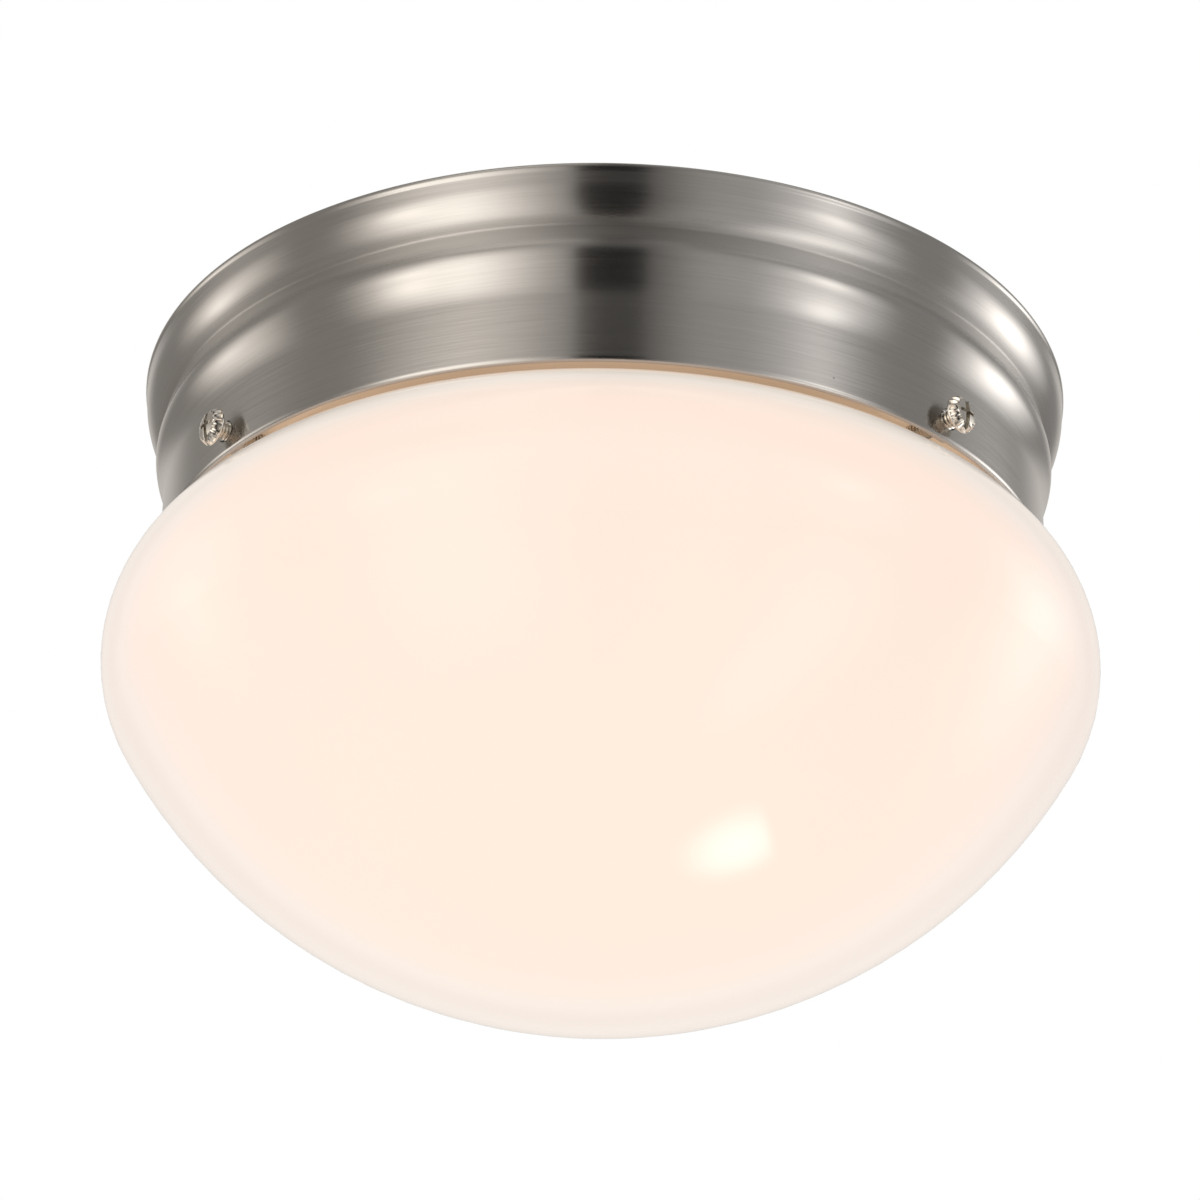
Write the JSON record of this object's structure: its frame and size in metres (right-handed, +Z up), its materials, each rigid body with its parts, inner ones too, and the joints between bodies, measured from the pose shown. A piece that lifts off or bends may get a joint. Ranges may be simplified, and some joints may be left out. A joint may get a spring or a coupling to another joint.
{
  "type": "flush mount ceiling light",
  "caption": "Round flush ceiling light: stepped brushed-metal pan, opal mushroom glass held by side screws, and screw-in lamps lying side by side inside.",
  "frame": {"origin": "centre of the plane where the pan's rim meets the ceiling", "axes": "+Z up into the ceiling, -Y towards the front, between the two close side screws, +X to the right seen from the front"},
  "size_m": [0.2408, 0.2408, 0.157],
  "materials": {
    "brushed_nickel": "brushed nickel plate",
    "opal_glass": "glossy opal white",
    "polished_nickel": "polished nickel plate",
    "glass_fibre": "matted glass fibre",
    "black_nylon": "moulded nylon",
    "green_steel": "green plated steel",
    "rivet_aluminium": "plain",
    "zinc_steel": "bright zinc plate",
    "porcelain": "white glaze",
    "shell_aluminium": "bright",
    "contact_brass": "bright",
    "bulb_diffuser": "frosted opal",
    "bulb_plastic": "satin white",
    "bulb_board": "white solder mask on aluminium",
    "bulb_cap_nickel": "nickel plate"
  },
  "bodies": {
    "fixture": {"pan": "brushed_nickel", "insulation_pad": "glass_fibre", "wire_bushing": "black_nylon", "earth_screw": "green_steel", "bracket_rivets": "rivet_aluminium", "glass_shade": "opal_glass", "lamp_bracket_1": "zinc_steel", "holder_screws_1": "zinc_steel", "lampholder_1": "porcelain", "screw_shell_1": "shell_aluminium", "centre_contact_1": "contact_brass", "lamp_bracket_2": "zinc_steel", "holder_screws_2": "zinc_steel", "lampholder_2": "porcelain", "screw_shell_2": "shell_aluminium", "centre_contact_2": "contact_brass", "shade_nut_1": "zinc_steel", "shade_nut_2": "zinc_steel", "shade_nut_3": "zinc_steel"},
    "shade_screw_1": {"shade_screw_1": "polished_nickel"},
    "shade_screw_2": {"shade_screw_2": "polished_nickel"},
    "shade_screw_3": {"shade_screw_3": "polished_nickel"},
    "lamp_1": {"bulb_dome_1": "bulb_diffuser", "bulb_housing_1": "bulb_plastic", "bulb_board_1": "bulb_board", "bulb_cap_1": "bulb_cap_nickel", "bulb_tip_1": "contact_brass"},
    "lamp_2": {"bulb_dome_2": "bulb_diffuser", "bulb_housing_2": "bulb_plastic", "bulb_board_2": "bulb_board", "bulb_cap_2": "bulb_cap_nickel", "bulb_tip_2": "contact_brass"}
  },
  "joints": [
    {"name": "shade_screw_1_back_out", "type": "slide", "parent": "fixture", "child": "shade_screw_1", "axis": [-0.7727, -0.6347, 0], "range_m": [0, 0.009]},
    {"name": "shade_screw_2_back_out", "type": "slide", "parent": "fixture", "child": "shade_screw_2", "axis": [0.7727, -0.6347, 0], "range_m": [0, 0.009]},
    {"name": "shade_screw_3_back_out", "type": "slide", "parent": "fixture", "child": "shade_screw_3", "axis": [0, 1, 0], "range_m": [0, 0.009]},
    {"name": "lamp_1_unscrew", "type": "slide", "parent": "fixture", "child": "lamp_1", "axis": [1, 0, 0], "range_m": [0, 0.0218]},
    {"name": "lamp_2_unscrew", "type": "slide", "parent": "fixture", "child": "lamp_2", "axis": [-1, 0, 0], "range_m": [0, 0.0218]}
  ]
}
